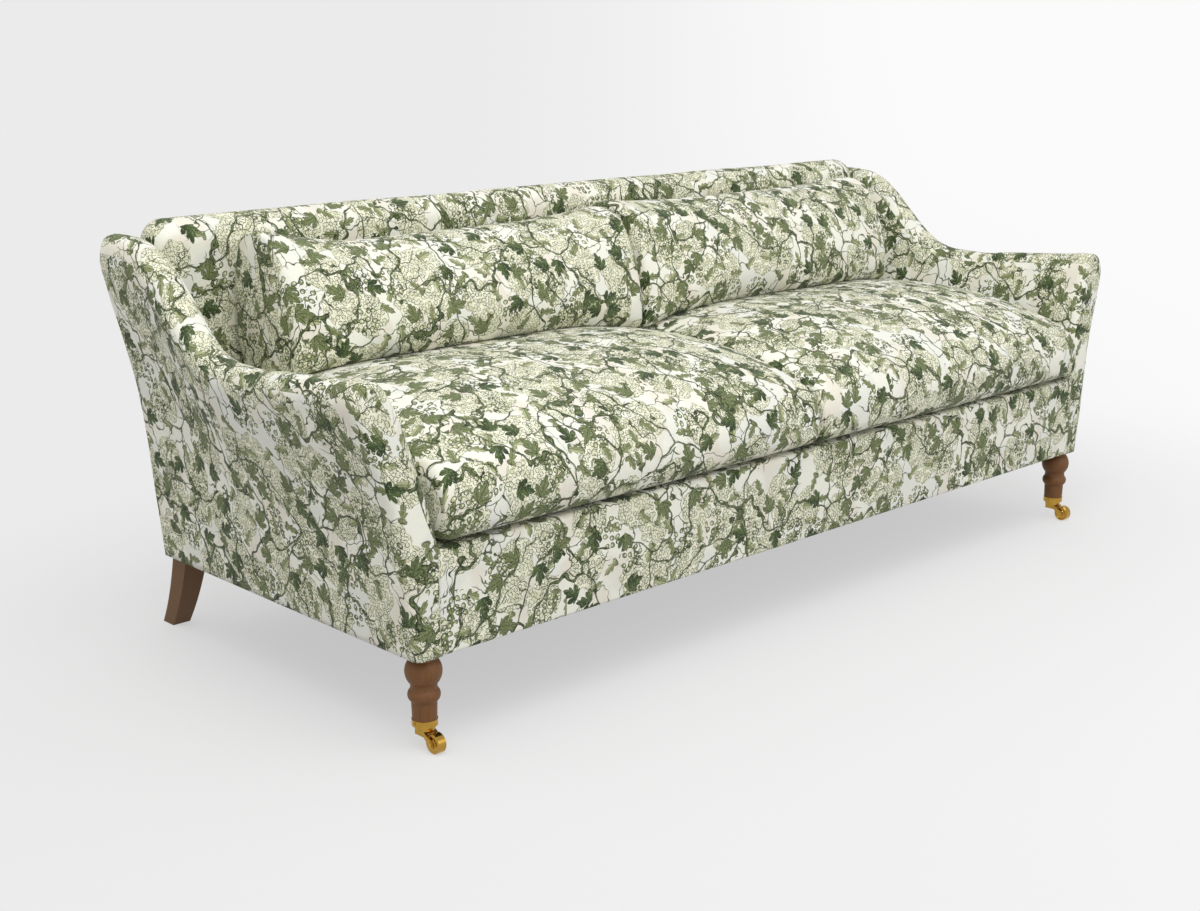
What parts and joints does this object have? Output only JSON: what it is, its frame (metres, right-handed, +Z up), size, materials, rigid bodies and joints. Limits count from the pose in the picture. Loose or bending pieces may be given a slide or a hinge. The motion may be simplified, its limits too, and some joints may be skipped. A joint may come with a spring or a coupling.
{
  "type": "upholstered sofa",
  "caption": "Low-armed upholstered sofa with loose seat and back cushions, a rolled back top, turned front legs on brass castors and swept rear legs.",
  "frame": {"origin": "on the floor, at the middle of the sofa's overall box", "axes": "+X to the right of someone who faces the sofa, the front faces -Y, +Z up"},
  "size_m": [2.0849, 0.861, 0.783],
  "materials": {
    "upholstery": "woven printed cloth",
    "frame_timber": "sawn hardwood",
    "cushion_filling": "wadding in plain ticking",
    "jute": "woven jute",
    "dust_cloth": "thin black lining cloth",
    "turned_wood": "polished brown stain",
    "dark_wood": "dark satin stain",
    "brass": "polished",
    "spring_steel": "drawn wire",
    "plated_steel": "zinc plated"
  },
  "bodies": {
    "sofa_frame": {"front_border": "upholstery", "back_pad": "upholstery", "outside_back": "upholstery", "arm_pad_right": "upholstery", "arm_pad_left": "upholstery", "outside_arm_right": "upholstery", "outside_arm_left": "upholstery", "front_rail": "frame_timber", "back_rail": "frame_timber", "centre_rail": "frame_timber", "back_top_rail": "frame_timber", "back_stay_rail": "frame_timber", "back_centre_post": "frame_timber", "corner_blocks": "frame_timber", "side_rail_right": "frame_timber", "side_rail_left": "frame_timber", "front_post_right": "frame_timber", "front_post_left": "frame_timber", "back_post_right": "frame_timber", "back_post_left": "frame_timber", "arm_rail_right": "frame_timber", "arm_rail_left": "frame_timber", "seat_deck": "cushion_filling", "spring_hessian": "jute", "back_webbing": "jute", "dust_cover": "dust_cloth", "front_leg_right": "turned_wood", "front_leg_left": "turned_wood", "rear_leg_right": "dark_wood", "rear_leg_left": "dark_wood", "castor_cup_right": "brass", "castor_cup_left": "brass", "castor_pintle_right": "brass", "castor_pintle_left": "brass", "castor_cup_screws": "brass", "seat_springs": "spring_steel", "spring_clips": "spring_steel", "leg_bolts": "plated_steel"},
    "castor_right": {"castor_horn_right": "brass", "castor_axle_right": "brass"},
    "castor_left": {"castor_horn_left": "brass", "castor_axle_left": "brass"},
    "wheel_right": {"castor_wheel_right": "brass"},
    "wheel_left": {"castor_wheel_left": "brass"},
    "seat_right": {"seat_cushion_right": "upholstery", "seat_core_right": "cushion_filling"},
    "seat_left": {"seat_cushion_left": "upholstery", "seat_core_left": "cushion_filling"},
    "backrest_right": {"back_cushion_right": "upholstery", "back_core_right": "cushion_filling"},
    "backrest_left": {"back_cushion_left": "upholstery", "back_core_left": "cushion_filling"}
  },
  "joints": [
    {"name": "castor_swivel_right", "type": "hinge", "parent": "sofa_frame", "child": "castor_right", "pos_m": [0.92, -0.3775, 0.03], "axis": [0, 0, 1], "continuous": true},
    {"name": "wheel_roll_right", "type": "hinge", "parent": "castor_right", "child": "wheel_right", "pos_m": [0.92, -0.405, 0.0165], "axis": [1, 0, 0], "continuous": true},
    {"name": "seat_lift_right", "type": "slide", "parent": "sofa_frame", "child": "seat_right", "axis": [0, 0, 1], "range_m": [0, 0.45]},
    {"name": "backrest_lift_right", "type": "slide", "parent": "seat_right", "child": "backrest_right", "axis": [0, 0, 1], "range_m": [0, 0.4]},
    {"name": "castor_swivel_left", "type": "hinge", "parent": "sofa_frame", "child": "castor_left", "pos_m": [-0.92, -0.3775, 0.03], "axis": [0, 0, 1], "continuous": true},
    {"name": "wheel_roll_left", "type": "hinge", "parent": "castor_left", "child": "wheel_left", "pos_m": [-0.92, -0.405, 0.0165], "axis": [1, 0, 0], "continuous": true},
    {"name": "seat_lift_left", "type": "slide", "parent": "sofa_frame", "child": "seat_left", "axis": [0, 0, 1], "range_m": [0, 0.45]},
    {"name": "backrest_lift_left", "type": "slide", "parent": "seat_left", "child": "backrest_left", "axis": [0, 0, 1], "range_m": [0, 0.4]}
  ]
}
